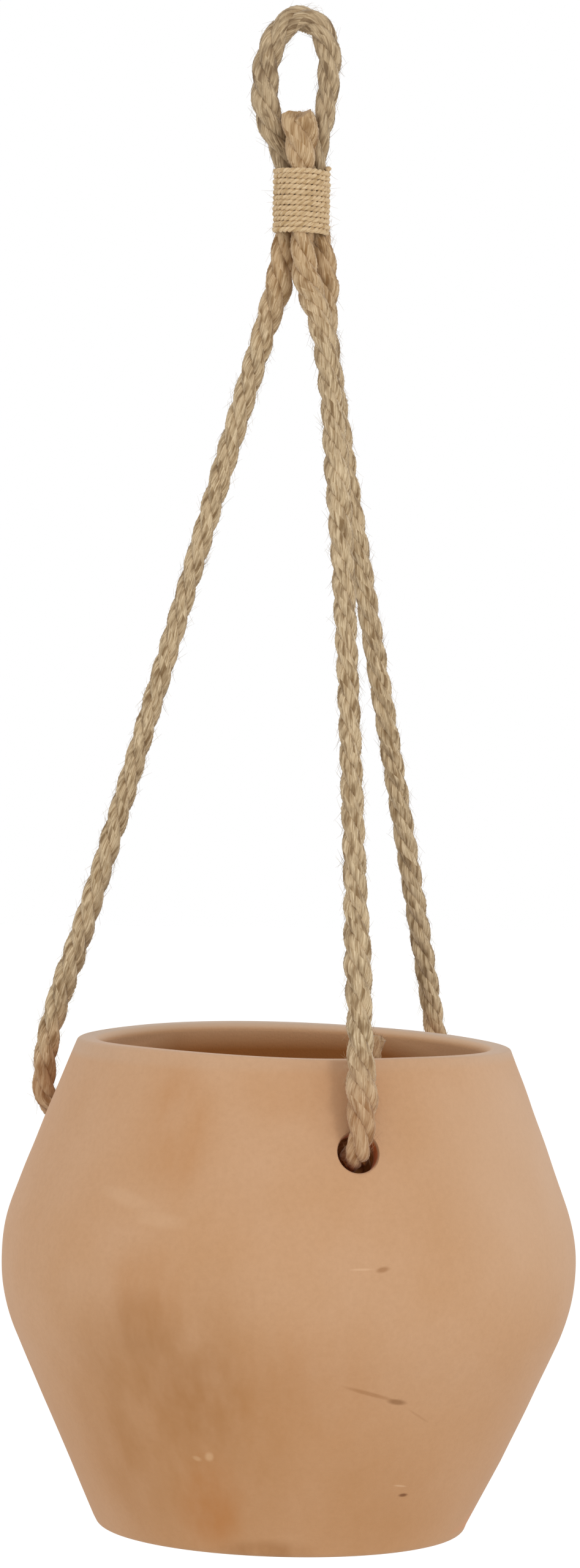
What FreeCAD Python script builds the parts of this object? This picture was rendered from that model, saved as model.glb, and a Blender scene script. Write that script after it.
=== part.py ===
import FreeCAD, Part
import math
import os

# Hanging planter: a terracotta pot hung from one hook by three legs of jute rope.
# Millimetres, +Z up. The origin is the point where the hook carries the loop, over the pot's axis.

# Rope, twine and the room between soft pieces
rope_diameter = 7.2
twine_diameter = 1.15
rope_clearance = 0.3
turning_gap = 0.3

# Heights, measured down from the hook
binding_drop = 40.5
neck_drop = 66.0
rim_drop = 298.0

# Binding: one length of twine wound round the rope bundle
twine_turns = 12
twine_pitch = 1.62

# Flexing neck below the binding: where the bundle turns, sways and swings
twist_depth = 9.7
sway_drop = 64.0
swing_drop = 76.0
sway_ball_margin = 2.6
swing_ball_margin = 7.2

# Pot
pot_height = 143.5
belly_radius = 85.5
belly_height = 77.5
belly_round = 53.0
upper_lean = math.radians(20.5)
lower_lean = math.radians(24.8)
wall = 7.0
floor_thickness = 9.0
rim_round = 2.0
base_round = 5.0
floor_round = 10.0

# Holes below the rim, and the bend of each leg over the edge of its hole
hole_diameter = 11.8
hole_drop = 26.0
hole_outer_round = 2.5
hole_inner_round = 1.5
mouth_lift = 0.15
leg_stand_off = 5.4
leg_bend_radius = 7.2

# Stopper knots behind the holes
knot_seat = 0.3
knot_radius = 8.2
knot_waist = 7.0
knot_length = 15.0
knot_stub = 4.0

# Round the axis, anticlockwise from +X, in degrees: each leg's hole and its place in the bundle
hole_angles = {"left": 167.0, "front": -75.3, "back": 53.0}
bundle_angles = {"left": 150.0, "front": -90.0, "back": 30.0}

# Points of each leg between the neck and its hole: out from the axis, sideways and down from the hook
leg_middles = {
    "left": [],
    "front": [(16.8, 5.0, 105.0), (33.5, 5.3, 162.0), (62.5, 1.8, 262.0)],
    "back": [],
}

# Points of the loop above the binding, from the left rope over the hook to the back rope
loop_points = [
    (-11.0, 1.0, -24.5),
    (-12.0, 0.4, -7.5),
    (-7.2, 0.0, 3.9),
    (3.6, 0.0, 3.9),
    (8.5, 0.5, -6.5),
    (7.9, 1.4, -23.0),
]
loop_foot_rise = 3.0

# Cut end of the short rope, which leans in front of the loop's foot
tail_points = [(0.2, -4.4, -37.0), (-0.8, -4.9, -25.2)]

# End of the front rope above the rim, in its leg's own directions: out, sideways and above the rim
front_end = (51.5, 10.0, 4.5)

rope_radius = rope_diameter / 2
twine_radius = twine_diameter / 2
bundle_radius = (rope_diameter + rope_clearance) / math.sqrt(3)
bundle_outer_radius = bundle_radius + rope_radius
twist_level = -(binding_drop + twist_depth)
base_level = -(rim_drop + pot_height)


def vector(x, y, z):
    return FreeCAD.Vector(x, y, z)


def leg_point(angle, out, side, level):
    """A point given by its distance out from the axis and sideways, in the direction of one leg."""
    a = math.radians(angle)
    return vector(out * math.cos(a) - side * math.sin(a), out * math.sin(a) + side * math.cos(a), level)


def bundle_point(leg, level):
    return leg_point(bundle_angles[leg], bundle_radius, 0, level)


def tangent_arc(start, corner, end):
    """The arc that leaves start towards corner and arrives at end from it, with both sides equally long."""
    chord_middle = (start + end) * 0.5
    weight = (end - start).Length / (2 * (corner - start).Length)
    return Part.Arc(start, (chord_middle + corner * weight) * (1 / (1 + weight)), end)


def rope_route(name, points, radii):
    """A wire of straight runs joined by tangent arcs. radii sets the radius at a point by its number."""
    edges = []
    found = []
    here = points[0]
    for i in range(1, len(points) - 1):
        before = points[i - 1] - points[i]
        after = points[i + 1] - points[i]
        half_turn = (math.pi - before.getAngle(after)) / 2
        radius = radii.get(i, 0.45 * min(before.Length, after.Length) / math.tan(half_turn))
        reach = radius * math.tan(half_turn)
        start = points[i] + before.normalize() * reach
        end = points[i] + after.normalize() * reach
        edges.append(Part.LineSegment(here, start).toShape())
        edges.append(tangent_arc(start, points[i], end).toShape())
        found.append(round(radius, 1))
        here = end
    edges.append(Part.LineSegment(here, points[-1]).toShape())
    wire = Part.Wire(edges)
    print(name, "length", round(wire.Length, 2), "bend radii", found)
    return wire


def rope_tube(name, points, radii):
    route = rope_route(name, points, radii)
    first = route.OrderedEdges[0]
    section = Part.Wire(Part.makeCircle(rope_radius, points[0], first.tangentAt(first.FirstParameter)))
    tube = route.makePipeShell([section], True, False)
    share = tube.Volume / (math.pi * rope_radius**2 * route.Length)
    print(name, "volume over section times length", round(share, 4))
    return tube


# Pot

belly_centre_radius = belly_radius - belly_round
belly_level = base_level + belly_height


def wall_line_radius(lean, inset, distance):
    """Radius of the pot's straight wall at a distance above or below the belly's middle."""
    curve = belly_round - inset
    return belly_centre_radius + curve / math.cos(lean) - distance * math.tan(lean)


def wall_outline(inset, bottom):
    """Points of one side of the wall, from the bottom up to the rim, with the belly's arc in the middle."""
    curve = belly_round - inset
    low = vector(belly_centre_radius + curve * math.cos(lower_lean), 0, belly_level - curve * math.sin(lower_lean))
    middle = vector(belly_centre_radius + curve, 0, belly_level)
    high = vector(belly_centre_radius + curve * math.cos(upper_lean), 0, belly_level + curve * math.sin(upper_lean))
    foot = vector(wall_line_radius(lower_lean, inset, belly_level - bottom), 0, bottom)
    top = vector(wall_line_radius(upper_lean, inset, -rim_drop - belly_level), 0, -rim_drop)
    return foot, low, middle, high, top


def hole_frame(leg):
    """The middle of a hole on the outer wall, the way out along the hole and the way up along the wall."""
    level = -rim_drop - hole_drop
    angle = hole_angles[leg]
    middle = leg_point(angle, wall_line_radius(upper_lean, 0, level - belly_level), 0, level)
    outward = leg_point(angle, math.cos(upper_lean), 0, math.sin(upper_lean))
    upward = leg_point(angle, -math.sin(upper_lean), 0, math.cos(upper_lean))
    return middle, outward, upward


def make_pot():
    axis_low = vector(0, 0, base_level)
    axis_high = vector(0, 0, base_level + floor_thickness)
    foot, low, middle, high, top = wall_outline(0, base_level)
    inner_foot, inner_low, inner_middle, inner_high, inner_top = wall_outline(wall, axis_high.z)
    outline = [
        Part.LineSegment(axis_low, foot),
        Part.LineSegment(foot, low),
        Part.Arc(low, middle, high),
        Part.LineSegment(high, top),
        Part.LineSegment(top, inner_top),
        Part.LineSegment(inner_top, inner_high),
        Part.Arc(inner_high, inner_middle, inner_low),
        Part.LineSegment(inner_low, inner_foot),
        Part.LineSegment(inner_foot, axis_high),
        Part.LineSegment(axis_high, axis_low),
    ]
    face = Part.Face(Part.Wire([line.toShape() for line in outline]))
    pot = face.revolve(vector(0, 0, 0), vector(0, 0, 1), 360)
    for corner, radius in (
        (foot, base_round),
        (top, rim_round),
        (inner_top, rim_round),
        (inner_foot, floor_round),
    ):
        pot = pot.makeFillet(radius, [nearest_circle(pot, corner)])
    for leg in hole_angles:
        pot = pot.cut(hole_cutter(leg))
    return pot


def nearest_circle(solid, corner):
    """The edge round the axis that passes through a corner of the outline."""
    point = Part.Vertex(corner)
    return min(solid.Edges, key=lambda edge: edge.distToShape(point)[0] + abs(edge.CenterOfMass.z - corner.z))


def hole_cutter(leg):
    """What a hole takes out of the wall: a round bore whose mouths open out on both sides of the wall."""
    hole_middle, outward, upward = hole_frame(leg)
    bore = hole_diameter / 2
    outer_mouth = bore + hole_outer_round
    inner_mouth = bore + hole_inner_round
    wall_curve = wall_line_radius(upper_lean, wall, hole_middle.z - belly_level)
    outer_top = mouth_lift
    inner_top = -wall - mouth_lift - inner_mouth**2 / (2 * wall_curve)
    outer_low = outer_top - hole_outer_round
    inner_low = inner_top + hole_inner_round
    reach = wall + rope_diameter
    slant = math.sqrt(0.5)
    corners = [(0, -reach), (inner_mouth, -reach), (inner_mouth, inner_top)]
    corners += [(bore, inner_low), (bore, outer_low)]
    corners += [(outer_mouth, outer_top), (outer_mouth, reach), (0, reach)]
    points = [vector(out, 0, height) for out, height in corners]
    middles = {
        2: vector(inner_mouth - hole_inner_round * slant, 0, inner_low - hole_inner_round * slant),
        4: vector(outer_mouth - hole_outer_round * slant, 0, outer_low + hole_outer_round * slant),
    }
    edges = []
    for i, start in enumerate(points):
        end = points[(i + 1) % len(points)]
        line = Part.Arc(start, middles[i], end) if i in middles else Part.LineSegment(start, end)
        edges.append(line.toShape())
    cutter = Part.Face(Part.Wire(edges)).revolve(vector(0, 0, 0), vector(0, 0, 1), 360)
    cutter.Placement = FreeCAD.Placement(hole_middle, FreeCAD.Rotation(vector(0, 0, 1), outward))
    return cutter


# Ropes

sway_pivot = vector(0, 0, -sway_drop)
swing_pivot = vector(0, 0, -swing_drop)


def neck_zone(pivot, radius):
    """The space above a ball cut: a round column from the hook down, with half a ball at its lower end."""
    column = Part.makeCylinder(radius, -pivot.z, pivot)
    return column.fuse(Part.makeSphere(radius, pivot)).removeSplitter()


def leg_points(leg):
    hole_middle, outward, upward = hole_frame(leg)
    lifted = hole_middle + upward * ((hole_diameter - rope_diameter) / 2 - rope_clearance)
    middles = [leg_point(hole_angles[leg], out, side, -drop) for out, side, drop in leg_middles[leg]]
    top = bundle_point(leg, twist_level - turning_gap)
    turn = bundle_point(leg, -neck_drop)
    bend = lifted + outward * leg_stand_off
    return [top, turn] + middles + [bend, lifted - outward * (wall + knot_seat)]


def make_leg(leg):
    """One leg from the twist in the binding to its knot, cut at the two balls of the neck."""
    points = leg_points(leg)
    whole = rope_tube("leg_" + leg, points, {len(points) - 2: leg_bend_radius})
    sway_ball = bundle_outer_radius + sway_ball_margin
    swing_ball = bundle_outer_radius + swing_ball_margin
    upper = whole.common(neck_zone(sway_pivot, sway_ball))
    rest = whole.cut(neck_zone(sway_pivot, sway_ball + turning_gap))
    lower = rest.common(neck_zone(swing_pivot, swing_ball))
    leg_alone = rest.cut(neck_zone(swing_pivot, swing_ball + turning_gap))
    for point in points:
        print("leg_" + leg, "point", [round(c, 2) for c in point])
    return upper.Solids[0], lower.Solids[0], leg_alone.Solids[0]


def make_knot(leg):
    """A stopper knot, two turns of rope side by side, seated behind the hole, with the rope's short end."""
    hole_middle, outward, upward = hole_frame(leg)
    seat = leg_points(leg)[-1]
    quarter = knot_length / 4
    end = knot_length + knot_stub
    outline = [
        Part.LineSegment(vector(0, 0, 0), vector(rope_radius, 0, 0)),
        Part.Arc(vector(rope_radius, 0, 0), vector(knot_radius, 0, quarter), vector(knot_waist, 0, 2 * quarter)),
        Part.Arc(
            vector(knot_waist, 0, 2 * quarter),
            vector(knot_radius, 0, 3 * quarter),
            vector(rope_radius, 0, knot_length),
        ),
        Part.LineSegment(vector(rope_radius, 0, knot_length), vector(rope_radius, 0, end)),
        Part.LineSegment(vector(rope_radius, 0, end), vector(0, 0, end)),
        Part.LineSegment(vector(0, 0, end), vector(0, 0, 0)),
    ]
    face = Part.Face(Part.Wire([line.toShape() for line in outline]))
    knot = face.revolve(vector(0, 0, 0), vector(0, 0, 1), 360)
    knot.Placement = FreeCAD.Placement(seat, FreeCAD.Rotation(vector(0, 0, 1), outward * -1))
    return knot


def make_front_knot():
    """The front knot: its rope's end is long and stands up along the wall, past the rim."""
    hole_middle, outward, upward = hole_frame("front")
    knot_middle = leg_points("front")[-1] - outward * (knot_length / 2)
    out, side, rise = front_end
    top = leg_point(hole_angles["front"], out, side, -rim_drop + rise)
    end = rope_tube("front_end", [knot_middle, top], {})
    return make_knot("front").fuse(end)


def make_loop():
    left_foot = bundle_point("left", -binding_drop + loop_foot_rise)
    back_foot = bundle_point("back", -binding_drop + loop_foot_rise)
    left_start = bundle_point("left", twist_level)
    back_end = bundle_point("back", twist_level)
    points = [left_start, left_foot] + [vector(*p) for p in loop_points] + [back_foot, back_end]
    return rope_tube("hanging_loop", points, {})


def make_tail():
    points = [bundle_point("front", twist_level)] + [vector(*p) for p in tail_points]
    return rope_tube("rope_tail", points, {})


# Binding

winding_radius = bundle_outer_radius + rope_clearance + twine_radius


def twine_point(turn):
    a = 2 * math.pi * turn
    level = -binding_drop - twine_radius - turn * twine_pitch
    return vector(winding_radius * math.cos(a), winding_radius * math.sin(a), level)


def twine_direction(turn):
    a = 2 * math.pi * turn
    around = 2 * math.pi * winding_radius
    return vector(-around * math.sin(a), around * math.cos(a), -twine_pitch).normalize()


def quarter_turn(turn):
    """Two arcs along a quarter turn of the twine, which share one direction where they meet."""
    start = twine_point(turn)
    end = twine_point(turn + 0.25)
    leaving = twine_direction(turn)
    arriving = twine_direction(turn + 0.25)
    across = end - start
    a = 2 * (leaving.dot(arriving) - 1)
    b = -2 * across.dot(leaving + arriving)
    reach = (-b - math.sqrt(b * b - 4 * a * across.dot(across))) / (2 * a)
    first_corner = start + leaving * reach
    last_corner = end - arriving * reach
    meeting = (first_corner + last_corner) * 0.5
    return tangent_arc(start, first_corner, meeting), tangent_arc(meeting, last_corner, end)


def make_binding():
    first_end = twine_point(0) - twine_direction(0) * twine_diameter
    last_end = twine_point(twine_turns) + twine_direction(twine_turns) * twine_diameter
    edges = [Part.LineSegment(first_end, twine_point(0)).toShape()]
    for quarter in range(4 * twine_turns):
        edges += [arc.toShape() for arc in quarter_turn(quarter / 4)]
    edges.append(Part.LineSegment(twine_point(twine_turns), last_end).toShape())
    route = Part.Wire(edges)
    section = Part.Wire(Part.makeCircle(twine_radius, first_end, twine_direction(0)))
    winding = route.makePipeShell([section], True, False)
    steps = 40
    points = [twine_point(i / steps) for i in range(twine_turns * steps + 1)]
    nearest = min(
        (points[j] - points[i]).Length
        for i in range(0, len(points), 5)
        for j in range(i + steps // 2, min(i + 2 * steps, len(points)))
    )
    print("binding least gap to itself", round(nearest - twine_diameter, 3))
    print("binding volume over section times length", winding.Volume / (math.pi * twine_radius**2 * route.Length))
    return winding


parts = {"pot": make_pot(), "binding": make_binding(), "hanging_loop": make_loop(), "rope_tail": make_tail()}
upper_links = []
lower_links = []
for leg in hole_angles:
    upper_link, lower_link, leg_rope = make_leg(leg)
    upper_links.append(upper_link)
    lower_links.append(lower_link)
    parts["leg_" + leg] = leg_rope
    parts["knot_" + leg] = make_front_knot() if leg == "front" else make_knot(leg)
parts["neck_upper"] = Part.makeCompound(upper_links)
parts["neck_lower"] = Part.makeCompound(lower_links)

os.makedirs("parts", exist_ok=True)
for name, shape in parts.items():
    shape.exportStep("parts/" + name + ".step")
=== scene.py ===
import math

import bmesh
import bpy
import numpy as np
from mathutils import Matrix, Vector, noise


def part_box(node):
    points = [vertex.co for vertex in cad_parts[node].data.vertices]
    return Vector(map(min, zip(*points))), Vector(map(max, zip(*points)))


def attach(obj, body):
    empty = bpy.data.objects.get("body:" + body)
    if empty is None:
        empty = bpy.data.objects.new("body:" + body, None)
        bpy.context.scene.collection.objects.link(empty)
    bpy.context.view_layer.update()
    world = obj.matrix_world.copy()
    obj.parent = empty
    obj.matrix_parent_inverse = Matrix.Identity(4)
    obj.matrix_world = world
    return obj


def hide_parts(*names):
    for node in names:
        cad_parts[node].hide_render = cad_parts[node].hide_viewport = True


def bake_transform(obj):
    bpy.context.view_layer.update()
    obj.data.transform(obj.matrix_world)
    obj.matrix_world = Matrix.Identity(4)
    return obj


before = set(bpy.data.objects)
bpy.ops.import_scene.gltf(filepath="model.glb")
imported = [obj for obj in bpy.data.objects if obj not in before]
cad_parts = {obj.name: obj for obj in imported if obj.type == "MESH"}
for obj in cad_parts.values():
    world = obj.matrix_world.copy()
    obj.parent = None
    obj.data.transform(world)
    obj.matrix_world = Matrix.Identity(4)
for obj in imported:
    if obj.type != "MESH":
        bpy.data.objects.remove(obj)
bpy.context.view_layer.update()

# Viewpoint
# A long lens a metre and a half in front of the planter, level with the middle of its ropes. It looks
# slightly down and is rolled by a little over half a degree, so the planter leans to the right.
mm = 0.001
camera_distance = 1500 * mm
camera_height = -181 * mm
camera_aim_x = -1.5 * mm
camera_pitch = math.radians(1.59)
camera_roll = math.radians(0.63)
camera_data = bpy.data.cameras.new("viewpoint")
camera_data.lens = 116.6
camera_data.sensor_width = 36
camera_data.clip_end = 20
camera = bpy.data.objects.new("viewpoint", camera_data)
camera_turn = Matrix.Rotation(math.pi / 2 - camera_pitch, 4, "X") @ Matrix.Rotation(camera_roll, 4, "Z")
camera.matrix_world = Matrix.Translation((camera_aim_x, -camera_distance, camera_height)) @ camera_turn
bpy.context.scene.collection.objects.link(camera)
bpy.context.scene.camera = camera

# Pot
# A double cone of unglazed red clay with a round belly, an open mouth and three finger-wide holes
# below its rim. It was pressed in a mould and fired, so its walls are even but not quite round.
pot_low, pot_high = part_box("pot")
belly_height = 77.5 * mm
belly_level = pot_low.z + belly_height
rim_level = pot_high.z

# The fired pot is a little slimmer at its belly and a little lower at its base than the plain solid.
belly_trim = 0.5 * mm
base_drop = 1.0 * mm
belly_radius = (pot_high.x - pot_low.x) / 2 - belly_trim
base_level = pot_low.z - base_drop
belly_round = 53 * mm
upper_lean = math.radians(20.5)
lower_lean = math.radians(24.3)
wall = 7 * mm
floor_thickness = 9 * mm
rim_outer_round = 1.2 * mm
rim_inner_round = 2.0 * mm
base_round = 2.4 * mm
floor_round = 10 * mm
outline_step = 1.5 * mm
pot_columns = 320


def wall_line_radius(lean, inset, level):
    """Radius of the pot's straight wall at a level, as a line that touches the belly's round."""
    at_belly = belly_radius - belly_round + (belly_round - inset) / math.cos(lean)
    return at_belly - abs(level - belly_level) * math.tan(lean)


def belly_corner(inset):
    """Where the two straight walls would meet if the belly had no round."""
    curve = belly_round - inset
    rise = curve * (1 / math.cos(upper_lean) - 1 / math.cos(lower_lean))
    rise /= math.tan(upper_lean) + math.tan(lower_lean)
    level = belly_level + rise
    lean = upper_lean if rise > 0 else lower_lean
    return Vector((wall_line_radius(lean, inset, level), level))


def rounded_line(corners, step):
    """Points along a line of corners, each given with the radius that rounds it."""
    line = [corners[0][0]]
    for i in range(1, len(corners) - 1):
        corner, radius = corners[i]
        before = (corners[i - 1][0] - corner).normalized()
        after = (corners[i + 1][0] - corner).normalized()
        half = before.angle(after) / 2
        reach = radius / math.tan(half)
        middle = corner + (before + after).normalized() * (radius / math.sin(half))
        start = corner + before * reach - middle
        turn = start.angle_signed(corner + after * reach - middle)
        count = max(6, round(abs(turn) * radius / step))
        for k in range(count + 1):
            spin = Matrix.Rotation(-turn * k / count, 2)
            line.append(middle + spin @ start)
    line.append(corners[-1][0])
    full = [line[0]]
    for start, end in zip(line, line[1:]):
        count = max(1, round((end - start).length / step))
        full += [start.lerp(end, k / count) for k in range(1, count + 1)]
    return full


def turned(outline, columns):
    """A closed surface turned about Z from an outline that starts and ends on the axis."""
    build = bmesh.new()
    turns = [2 * math.pi * i / columns for i in range(columns)]
    ways = [(math.cos(turn), math.sin(turn)) for turn in turns]
    rows = [[build.verts.new((p.x * x, p.x * y, p.y)) for x, y in ways] for p in outline[1:-1]]
    for low, high in zip(rows, rows[1:]):
        for i in range(columns):
            j = (i + 1) % columns
            build.faces.new((low[i], low[j], high[j], high[i]))
    first = build.verts.new((0, 0, outline[0].y))
    last = build.verts.new((0, 0, outline[-1].y))
    for i in range(columns):
        j = (i + 1) % columns
        build.faces.new((first, rows[0][j], rows[0][i]))
        build.faces.new((last, rows[-1][i], rows[-1][j]))
    return build


def add_piece(name, mesh):
    """A new object with a mesh, linked into the scene."""
    piece = bpy.data.objects.new(name, mesh)
    bpy.context.scene.collection.objects.link(piece)
    return piece


floor_level = base_level + floor_thickness
pot_corners = [
    (Vector((0, base_level)), 0),
    (Vector((wall_line_radius(lower_lean, 0, base_level), base_level)), base_round),
    (belly_corner(0), belly_round),
    (Vector((wall_line_radius(upper_lean, 0, rim_level), rim_level)), rim_outer_round),
    (Vector((wall_line_radius(upper_lean, wall, rim_level), rim_level)), rim_inner_round),
    (belly_corner(wall), belly_round - wall),
    (Vector((wall_line_radius(lower_lean, wall, floor_level), floor_level)), floor_round),
    (Vector((0, floor_level)), 0),
]
pot_outline = rounded_line(pot_corners, outline_step)
pot_build = turned(pot_outline, pot_columns)

# The wall wanders a little from its round, and the rim has dried in shallow waves. Each wave is given as
# its number of crests round the rim and the heights of its cosine and its sine in millimetres. The foot
# is drawn in on the right, where the clay sagged in the mould, and the base is flat.
wander_size = 45 * mm
wander_depth = 0.5 * mm
dent_size = 12 * mm
dent_depth = 0.12 * mm
rim_reach = 30 * mm
rim_dip = 0.3 * mm
rim_waves = [(0, -0.58, 0), (1, -0.12, 0.21), (2, -0.3, -0.06), (3, 0.16, -0.23), (4, -0.12, 0.04)]
foot_draw = 1.8 * mm
foot_reach = 22 * mm
flat_level = base_level + 2 * mm
for vert in pot_build.verts:
    foot_share = max(0, 1 - (vert.co.z - base_level) / foot_reach)
    vert.co.x -= foot_share * foot_draw * max(0, vert.co.x / belly_radius)
    radial = Vector((vert.co.x, vert.co.y, 0))
    if radial.length > 1 * mm and vert.co.z > flat_level:
        wander = noise.noise(vert.co / wander_size) * wander_depth
        wander += noise.noise(vert.co / dent_size) * dent_depth
        rim_share = max(0, 1 - (rim_level - vert.co.z) / rim_reach)
        turn = math.atan2(radial.y, radial.x)
        waves = [
            cosine * math.cos(crests * turn) + sine * math.sin(crests * turn)
            for crests, cosine, sine in rim_waves
        ]
        vert.co += radial.normalized() * wander
        vert.co.z += rim_share * (noise.noise(radial / wander_size) * rim_dip + sum(waves) * mm)
pot_mesh = bpy.data.meshes.new("pot")
pot_build.to_mesh(pot_mesh)
pot_build.free()
pot = add_piece("terracotta_pot", pot_mesh)

# Each hole was pushed through the soft clay, so its mouths are rounded on both sides of the wall. The
# rounds begin a little off the wall, because the wall is curved.
hole_diameter = 11.8 * mm
hole_drop = 26 * mm
hole_angles = {"left": 167.0, "front": -75.3, "back": 53.0}
hole_outer_round = 1.6 * mm
hole_inner_round = 1.5 * mm
hole_outer_lift = 0.25 * mm
hole_inner_lift = 0.55 * mm
cutter_edge = 0.1 * mm
mouth_edge = 0.05 * mm
hole_step = 0.6 * mm
hole_columns = 64
hole_level = rim_level - hole_drop
hole_radius = wall_line_radius(upper_lean, 0, hole_level)
hole_tilt = Matrix.Rotation(math.pi / 2 - upper_lean, 4, "Y")
bore = hole_diameter / 2
outer_mouth = bore + 3 * hole_outer_round
inner_mouth = bore + 3 * hole_inner_round
cutter_reach = wall + hole_diameter
hole_corners = [
    (Vector((0, -cutter_reach)), 0),
    (Vector((inner_mouth, -cutter_reach)), cutter_edge),
    (Vector((inner_mouth, -wall - hole_inner_lift)), mouth_edge),
    (Vector((bore, -wall - hole_inner_lift)), hole_inner_round),
    (Vector((bore, hole_outer_lift)), hole_outer_round),
    (Vector((outer_mouth, hole_outer_lift)), mouth_edge),
    (Vector((outer_mouth, cutter_reach)), cutter_edge),
    (Vector((0, cutter_reach)), 0),
]
hole_outline = rounded_line(hole_corners, hole_step)
for angle in hole_angles.values():
    cutter_build = turned(hole_outline, hole_columns)
    cutter_mesh = bpy.data.meshes.new("hole")
    cutter_build.to_mesh(cutter_mesh)
    cutter_build.free()
    heading = Matrix.Rotation(math.radians(angle), 4, "Z")
    hole_place = Matrix.Translation((0, 0, hole_level)) @ heading @ Matrix.Translation((hole_radius, 0, 0))
    cutter_mesh.transform(hole_place @ hole_tilt)
    cutter = add_piece("hole", cutter_mesh)
    cut = pot.modifiers.new("hole", "BOOLEAN")
    cut.operation = "DIFFERENCE"
    cut.solver = "EXACT"
    cut.object = cutter
    bpy.context.view_layer.objects.active = pot
    bpy.ops.object.modifier_apply(modifier=cut.name)
    bpy.data.objects.remove(cutter)
    bpy.data.meshes.remove(cutter_mesh)

# How deep each point lies below the outer skin, in millimetres, which tells the bores and the inside apart.
outer_line = pot_outline[: 1 + pot_outline.index(max(pot_outline, key=lambda p: (p.y, p.x)))]
outer_levels = [p.y for p in outer_line[1:]]
outer_radii = [p.x for p in outer_line[1:]]
pot_points = np.empty(3 * len(pot.data.vertices))
pot.data.vertices.foreach_get("co", pot_points)
pot_points = pot_points.reshape(-1, 3)
skin_radius = np.interp(pot_points[:, 2], outer_levels, outer_radii)
depth = np.maximum(0, skin_radius - np.hypot(pot_points[:, 0], pot_points[:, 1])) / mm
depth[pot_points[:, 2] < flat_level] = 0
pot.data.attributes.new("depth", "FLOAT", "POINT").data.foreach_set("value", depth)

# The legs aren't quite equal, so the pot hangs a little lower on the right and a little to the right.
hang_lean = math.radians(0.9)
hang_level = -310 * mm
hang_aside = 0.55 * mm
hang_turn = Matrix.Rotation(hang_lean, 4, "Y") @ Matrix.Translation((0, 0, -hang_level))
pot.data.transform(Matrix.Translation((hang_aside, 0, hang_level)) @ hang_turn)
bpy.ops.object.select_all(action="DESELECT")
pot.select_set(True)
bpy.ops.object.shade_smooth_by_angle(angle=math.radians(40))


def linear(hex_colour):
    """A written sRGB colour such as C4966A as linear red, green, blue and alpha."""
    parts = [int(hex_colour[i : i + 2], 16) / 255 for i in (0, 2, 4)]
    return [c / 12.92 if c <= 0.04045 else ((c + 0.055) / 1.055) ** 2.4 for c in parts] + [1]


def put(tree, kind, inputs, **settings):
    """Adds one node with its settings. An input is a plain value, or a socket that is linked to it."""
    added = tree.nodes.new(kind)
    for name, value in settings.items():
        setattr(added, name, value)
    for name, value in inputs.items():
        if isinstance(value, bpy.types.NodeSocket):
            tree.links.new(value, added.inputs[name])
        else:
            added.inputs[name].default_value = value
    return added


def coated(tree, below, hex_colour, *shares):
    """Lays a colour over a tone. The shares, numbers or sockets, are multiplied together."""
    share = shares[0]
    for other in shares[1:]:
        share = put(tree, "ShaderNodeMath", {0: share, 1: other}, operation="MULTIPLY").outputs[0]
    colours = {0: share, 6: below, 7: linear(hex_colour)}
    return put(tree, "ShaderNodeMix", colours, data_type="RGBA").outputs[2]


def skin_spot(across, level, side=-1):
    """A point on the outer skin, given in millimetres across and up; side -1 is the front, 1 the back."""
    radius = np.interp(level, [y / mm for y in outer_levels], [x / mm for x in outer_radii])
    return Vector((across, side * math.sqrt(radius**2 - across**2), level)) * mm


def near_spot(tree, place, spot, half_sizes, turn, core):
    """1 in an ellipsoid's core, falling to 0 at its edge. Sizes are in millimetres, the turn in degrees."""
    settings = {"Vector": place, "Location": spot, "Rotation": (0, math.radians(turn), 0)}
    settings["Scale"] = [size * mm for size in half_sizes]
    inside = put(tree, "ShaderNodeMapping", settings, vector_type="TEXTURE")
    away = put(tree, "ShaderNodeVectorMath", {0: inside.outputs[0]}, operation="LENGTH")
    fall = {"Value": away.outputs["Value"], "From Min": core, "From Max": 1.0, "To Min": 1.0, "To Max": 0.0}
    return put(tree, "ShaderNodeMapRange", fall, interpolation_type="SMOOTHSTEP").outputs[0]


# Unglazed terracotta, fired and left matt: a dry, even, slightly sandy tan skin, which soil and damp have
# stained orange brown low down. The rim's top is dusty and carries a painted reflection, the inside is
# darkened by soil and painted shade, and the bores are painted a bright orange for the light bounced about in
# them.
terracotta = bpy.data.materials.new("unglazed_terracotta")
terracotta.use_nodes = True
clay = terracotta.node_tree
clay_shader = clay.nodes["Principled BSDF"]
clay_place = put(clay, "ShaderNodeTexCoord", {}).outputs["Object"]
clay_axes = put(clay, "ShaderNodeSeparateXYZ", {"Vector": clay_place})
clay_height = clay_axes.outputs["Z"]
drift_size = 40 * mm
grit_size = 1.6 * mm
drift = put(
    clay,
    "ShaderNodeTexNoise",
    {"Vector": clay_place, "Scale": 1 / drift_size, "Detail": 4.0, "Roughness": 0.55},
)
grit = put(
    clay,
    "ShaderNodeTexNoise",
    {"Vector": clay_place, "Scale": 1 / grit_size, "Detail": 2.0, "Roughness": 0.6},
)
drift_share = put(
    clay,
    "ShaderNodeMapRange",
    {"Value": drift.outputs["Fac"], "From Min": 0.35, "From Max": 0.7},
).outputs[0]
grit_share = put(
    clay,
    "ShaderNodeMapRange",
    {"Value": grit.outputs["Fac"], "From Min": 0.35, "From Max": 0.75, "To Max": 0.09},
).outputs[0]
clay_tone = coated(clay, linear("CBA07B"), "C6986F", drift_share)
clay_tone = coated(clay, clay_tone, "8F6238", grit_share)

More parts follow.
